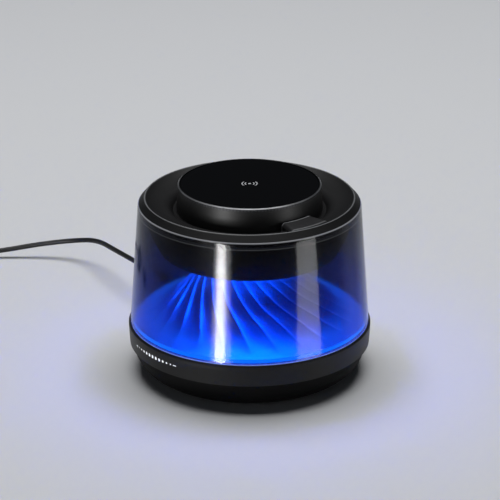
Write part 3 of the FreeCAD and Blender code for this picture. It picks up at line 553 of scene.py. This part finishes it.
# Heights where the painted highlight along the top of the rim starts and is full.
RIM_HIGHLIGHT_START, RIM_HIGHLIGHT_FULL = 0.1202, 0.1205


def deck_black():
    """Satin black, with a painted highlight along the top of the rim."""
    surface = moulded("deck_black", BLACK, BLACK_LIT, rough=(0.42, 0.5), specular=0.26)
    # Painted highlight: the colour is lighter along the top of the rim.
    rim = surface.ranged(surface.height(), RIM_HIGHLIGHT_START, RIM_HIGHLIGHT_FULL, 0, 1, smooth=True)
    painted_highlight = surface.math("MULTIPLY", rim, surface.ranged(surface.noise(60), 0.3, 0.6, 0.6, 1.0))
    surface.colour(painted_highlight, (0.0, (0.006, 0.006, 0.0065)), (1.0, (0.16, 0.165, 0.175)))
    return surface


# Radii of the painted highlights along the key's inner and outer edges.
INNER_HIGHLIGHT_FULL, INNER_HIGHLIGHT_END = KEY_INNER + 1.0, KEY_INNER + 1.6
OUTER_HIGHLIGHT_START = KEY_OUTER - 0.9


def key_black():
    """The key's silky paint, with painted highlights along its inner and outer edges."""
    surface = silky("key_black", (0.008, 0.008, 0.009), (0.012, 0.012, 0.013))
    # Painted highlights: the colour is lighter near the inner and outer edges.
    radius = surface.radius()
    inner = surface.ranged(radius, INNER_HIGHLIGHT_FULL * MM, INNER_HIGHLIGHT_END * MM, 1, 0, smooth=True)
    outer = surface.ranged(radius, OUTER_HIGHLIGHT_START * MM, KEY_OUTER * MM, 0, 1, smooth=True)
    painted_highlight = surface.math("MULTIPLY", surface.math("MAXIMUM", inner, outer),
                        surface.ranged(surface.noise(160), 0.3, 0.6, 0.6, 1.0))
    surface.colour(painted_highlight, (0.0, (0.011, 0.011, 0.012)), (1.0, (0.2, 0.205, 0.215)))
    return surface


OWN_FINISHES = {"bottom_bowl": bowl_black, "pad_drum": drum_black, "deck_ring": deck_black}


def finish_nodes():
    """Every carried-over CAD node gets its slot's material, or its own version of it."""
    for part in frame["record"]["subparts"]:
        node = part["node"]
        materials = NODES[node].data.materials
        materials.clear()
        if node in OWN_FINISHES:
            materials.append(OWN_FINISHES[node]().material)
        else:
            materials.append(finish_of(part["material_slot"]))


# ---- mesh helpers ----


def add_mesh(name, points, faces, slot, body=BASE, sharp=40):
    mesh = bpy.data.meshes.new(name)
    mesh.from_pydata(points, [], faces)
    mesh.validate()
    mesh.shade_smooth()
    mesh.set_sharp_from_angle(angle=math.radians(sharp))
    mesh.materials.append(finish_of(slot))
    piece = bpy.data.objects.new(name, mesh)
    bpy.context.scene.collection.objects.link(piece)
    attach(piece, body)
    return piece


CORNER_STEPS = 5


def softened(profile):
    """A closed (radius, height[, round]) profile with its corners rounded off."""
    points = []
    for before, corner, after in zip(profile[-1:] + profile[:-1], profile, profile[1:] + profile[:1]):
        here = Vector(corner[:2])
        round_off = corner[2] if len(corner) > 2 else 0
        if not round_off:
            points.append(here)
            continue
        start = here + (Vector(before[:2]) - here).normalized() * round_off
        end = here + (Vector(after[:2]) - here).normalized() * round_off
        for step in range(CORNER_STEPS + 1):
            t = step / CORNER_STEPS
            points.append(start * (1 - t) ** 2 + here * 2 * t * (1 - t) + end * t**2)
    return points


def lathe(name, profile, slot, segments=256):
    """Turn a closed profile, in millimetres, about Z."""
    line = softened(profile)
    points = []
    for number in range(segments):
        angle = 2 * math.pi * number / segments
        points += [(r * MM * math.cos(angle), r * MM * math.sin(angle), z * MM) for r, z in line]
    count = len(line)
    faces = []
    for number in range(segments):
        here, after = number * count, (number + 1) % segments * count
        for i in range(count):
            j = (i + 1) % count
            faces.append((here + i, after + i, after + j, here + j))
    return add_mesh(name, points, faces, slot)


# ---- the lamp ----

SHELL_TOP_RADIUS = 73.2
SHELL_WALL = 3.0


def make_shell():
    low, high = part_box("clear_shell")
    bottom, top, radius = low.z / MM, high.z / MM, high.x / MM
    shell = lathe("shell_cover", [
        (radius - SHELL_WALL, bottom, 0.3), (radius, bottom, 0.5),
        (SHELL_TOP_RADIUS, top, 1.1), (SHELL_TOP_RADIUS - SHELL_WALL, top, 0.4)], "clear_plastic")
    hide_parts("clear_shell")
    STREAK_RECEIVERS.objects.link(shell)


REFLECTOR_LINE = [(28.5, 75.8), (31.5, 71.2), (35, 67), (42, 59), (50, 52), (60, 44.2), (69, 39.2),
                  (75.5, 37.2)]
ROW_CROWDING = 1.15
FLUTES = 24
FLUTE_DEPTH = 2.4
FLUTE_LEAN = 0.8
FLUTE_START, FLUTE_END = 22, 70
FLUTE_SWIRL = -0.0243
REFLECTOR_WALL = 2.4


def crest_height(radius):
    """The crest line's height: a smooth cubic through the points of its line."""
    line = REFLECTOR_LINE
    spot = next((i for i in range(len(line) - 2) if radius < line[i + 1][0]), len(line) - 2)
    (r0, z0), (r1, z1) = line[spot], line[spot + 1]

    def slope(i):
        before, after = line[max(i - 1, 0)], line[min(i + 1, len(line) - 1)]
        return (after[1] - before[1]) / (after[0] - before[0])

    width = r1 - r0
    t = (radius - r0) / width
    return (z0 * (2 * t**3 - 3 * t**2 + 1) + slope(spot) * width * (t**3 - 2 * t**2 + t)
            + z1 * (3 * t**2 - 2 * t**3) + slope(spot + 1) * width * (t**3 - t**2))


def make_reflector():
    """The swirled, fluted trumpet: a sheet whose underside is the same surface, one wall lower."""
    along, across = 72, 14
    around = FLUTES * across
    first, last = REFLECTOR_LINE[0][0], REFLECTOR_LINE[-1][0]
    sheets = []
    for drop in (0, REFLECTOR_WALL):
        for i in range(along + 1):
            radius = first + (last - first) * (i / along) ** ROW_CROWDING
            swirl = FLUTE_SWIRL * max(0.0, FLUTE_END - radius) ** 2
            share = min(1.0, (radius - FLUTE_START) / (FLUTE_END - FLUTE_START))
            depth = FLUTE_DEPTH * math.sin(math.pi * share)
            for k in range(around):
                within = (k % across / across) ** FLUTE_LEAN
                angle = math.radians(swirl + 360 * k / around)
                height = crest_height(radius) - depth * 4 * within * (1 - within) - drop
                sheets.append((radius * MM * math.sin(angle), -radius * MM * math.cos(angle),
                               height * MM))
    under = (along + 1) * around
    faces = []
    for i in range(along):
        for k in range(around):
            a, b = i * around + k, i * around + (k + 1) % around
            c, d = a + around, b + around
            faces.append((a, c, d, b))
            faces.append((a + under, b + under, d + under, c + under))
    for i in (0, along):
        for k in range(around):
            a, b = i * around + k, i * around + (k + 1) % around
            faces.append((a, b, b + under, a + under) if i == 0 else (b, a, a + under, b + under))
    piece = add_mesh("fluted_reflector", sheets, faces, "reflector_white", sharp=60)
    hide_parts("reflector")


KEY_AZIMUTH, KEY_SPAN = 38, 27.3
KEY_BOTTOM, KEY_TOP = 113.3, 119.4
KEY_ROUND = 0.7
KEY_END_ROUND, KEY_END_DROP, KEY_END_CURVE = 2.6, 1.9, 2.5


def make_key():
    """The curved key: its long top edges rounded, its two ends curving down into the trough."""
    around, across = 48, 8
    corners = [(KEY_INNER, KEY_BOTTOM), (KEY_OUTER, KEY_BOTTOM)]
    outer_edge = []
    for k in range(across + 1):
        angle = math.pi / 2 * k / across
        outer_edge.append((KEY_OUTER - KEY_ROUND + KEY_ROUND * math.cos(angle),
                           KEY_TOP - KEY_ROUND + KEY_ROUND * math.sin(angle)))
    inner_edge = [(KEY_INNER + KEY_OUTER - r, z) for r, z in reversed(outer_edge)]
    section = corners + outer_edge + inner_edge
    points = []
    for step in range(around + 1):
        turn = KEY_SPAN * (step / around - 0.5)
        past = max(0.0, abs(turn) - (KEY_SPAN / 2 - KEY_END_ROUND)) / KEY_END_ROUND
        drop = KEY_END_DROP * past**KEY_END_CURVE
        angle = math.radians(KEY_AZIMUTH + turn)
        points += [(r * MM * math.sin(angle), -r * MM * math.cos(angle),
                    (z - (drop if z > KEY_BOTTOM else 0)) * MM) for r, z in section]
    count = len(section)
    faces = [tuple(range(count)), tuple(reversed(range(around * count, (around + 1) * count)))]
    for step in range(around):
        here, after = step * count, (step + 1) * count
        for i in range(count):
            j = (i + 1) % count
            faces.append((after + i, after + j, here + j, here + i))
    key = add_mesh("press_key", points, faces, "satin_black", body=KEY)
    key.data.materials[0] = key_black().material
    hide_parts("deck_key")


# ---- strain reliefs ----

RELIEF_NEAR, RELIEF_FAR = 2.9, 2.1
RIB_PITCH, RIB_WIDTH, RIB_DEPTH = 2.2, 1.3, 0.45
RIB_ROUND = 0.15
CORD_BORE = 1.7


def ribbed_sleeve(name, start, end):
    """A tapered rubber sleeve with ribs, from start to end in millimetres, open for the cord."""
    start, end = Vector(start), Vector(end)
    length = (end - start).length
    line = [(CORD_BORE, 0.0)]
    along = 0.0
    while along < length:
        stop = min(along + RIB_WIDTH, length)
        near, far = (RELIEF_NEAR + (RELIEF_FAR - RELIEF_NEAR) * spot / length for spot in (along, stop))
        line += [(near - RIB_ROUND, along), (near, along + RIB_ROUND),
                 (far, stop - RIB_ROUND), (far - RIB_ROUND, stop)]
        if along + RIB_PITCH < length:
            line += [(far - RIB_DEPTH, stop), (far - RIB_DEPTH, along + RIB_PITCH)]
        along += RIB_PITCH
    line.append((CORD_BORE, line[-1][1]))
    sleeve = lathe(name, line, "cable", segments=48)
    turn = (end - start).to_track_quat("Z", "Y").to_matrix().to_4x4()
    turn.translation = start * MM
    sleeve.data.transform(turn)
    return sleeve


def make_reliefs():
    """The two sleeves, each ending where the open cord starts."""
    out = Vector((math.sin(SOCKET_AZIMUTH), -math.cos(SOCKET_AZIMUTH), 0))
    near_end = Vector(CORD_ROUTE[0])
    plug = ribbed_sleeve("plug_sleeve", near_end - out * PLUG_SLEEVE_LENGTH, near_end)
    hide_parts("plug_relief")
    far_end = Vector(TAIL_ROUTE[-1])
    usb = ribbed_sleeve("usb_sleeve", far_end - Vector((0, FAR_SLEEVE_LENGTH, 0)), far_end)
    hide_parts("usb_relief")
    return [plug, usb]


# ---- the cord ----

CORD_DIAMETER = 0.0035
CORD_ROUTE = [
    (-66.8, 95.5, 27.0),
    (-78.5, 114.0, 27.2),
    (-95.5, 143.0, 25.0),
    (-109.5, 173.5, 20.5),
    (-127.0, 188.0, 14.5),
    (-153.0, 191.0, 10.3),
    (-180.0, 190.4, 5.4),
    (-203.0, 189.6, 3.0),
]
TAIL_ROUTE = [
    (-238.6, 148.0, 6.0),
    (-238.9, 138.0, 5.2),
    (-238.4, 128.0, 4.2),
    (-238.2, 118.0, 4.0),
]
SOCKET_AZIMUTH = math.radians(-145)
PLUG_SLEEVE_LENGTH, FAR_SLEEVE_LENGTH = 18, 12
COIL_CENTRE = (-212.0, 163.3)
COIL_LIFT = 0.8
COIL_TURNS = 7.25
COIL_RISE_AT = 3.1
COIL_OUTER, COIL_INNER, COIL_PITCH = 26.25, 15.75, 3.5
POINTS_PER_TURN = 18


def coil_points():
    """About three turns inwards just off the table, one that climbs, and three outwards on top."""
    points = []
    low = COIL_LIFT + CORD_DIAMETER / MM / 2
    for step in range(int(COIL_TURNS * POINTS_PER_TURN) + 1):
        turn = step / POINTS_PER_TURN
        inwards = COIL_OUTER - COIL_PITCH * turn
        outwards = COIL_OUTER - COIL_PITCH * (COIL_TURNS - turn)
        radius = max(COIL_INNER, inwards if turn < COIL_TURNS / 2 else outwards)
        rise = min(1.0, max(0.0, turn - COIL_RISE_AT))
        angle = math.pi / 2 + 2 * math.pi * turn
        points.append((COIL_CENTRE[0] + radius * math.cos(angle),
                       COIL_CENTRE[1] + radius * math.sin(angle),
                       low + rise * CORD_DIAMETER / MM))
    return points


def make_cord(sleeves):
    """One cord from the lamp, over the table, through the coil and on to the far plug."""
    data = bpy.data.curves.new("power_cord", "CURVE")
    data.dimensions = "3D"
    data.bevel_depth = CORD_DIAMETER / 2
    data.bevel_resolution = 6
    data.resolution_u = 8
    data.use_fill_caps = True
    spline = data.splines.new("NURBS")
    route = CORD_ROUTE + coil_points() + TAIL_ROUTE
    spline.points.add(len(route) - 1)
    for point, (x, y, z) in zip(spline.points, route):
        point.co = (x * MM, y * MM, z * MM, 1)
    spline.order_u = 3
    spline.use_endpoint_u = True
    cord = bpy.data.objects.new("power_cord", data)
    bpy.context.scene.collection.objects.link(cord)
    data.materials.append(finish_of("cable"))
    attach(cord, BASE)
    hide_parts("cord", "cord_coil", "cord_tail")


# ---- build ----

make_camera()
make_floor()
make_lights()
finish_nodes()
make_shell()
make_reflector()
make_key()
make_cord(make_reliefs())
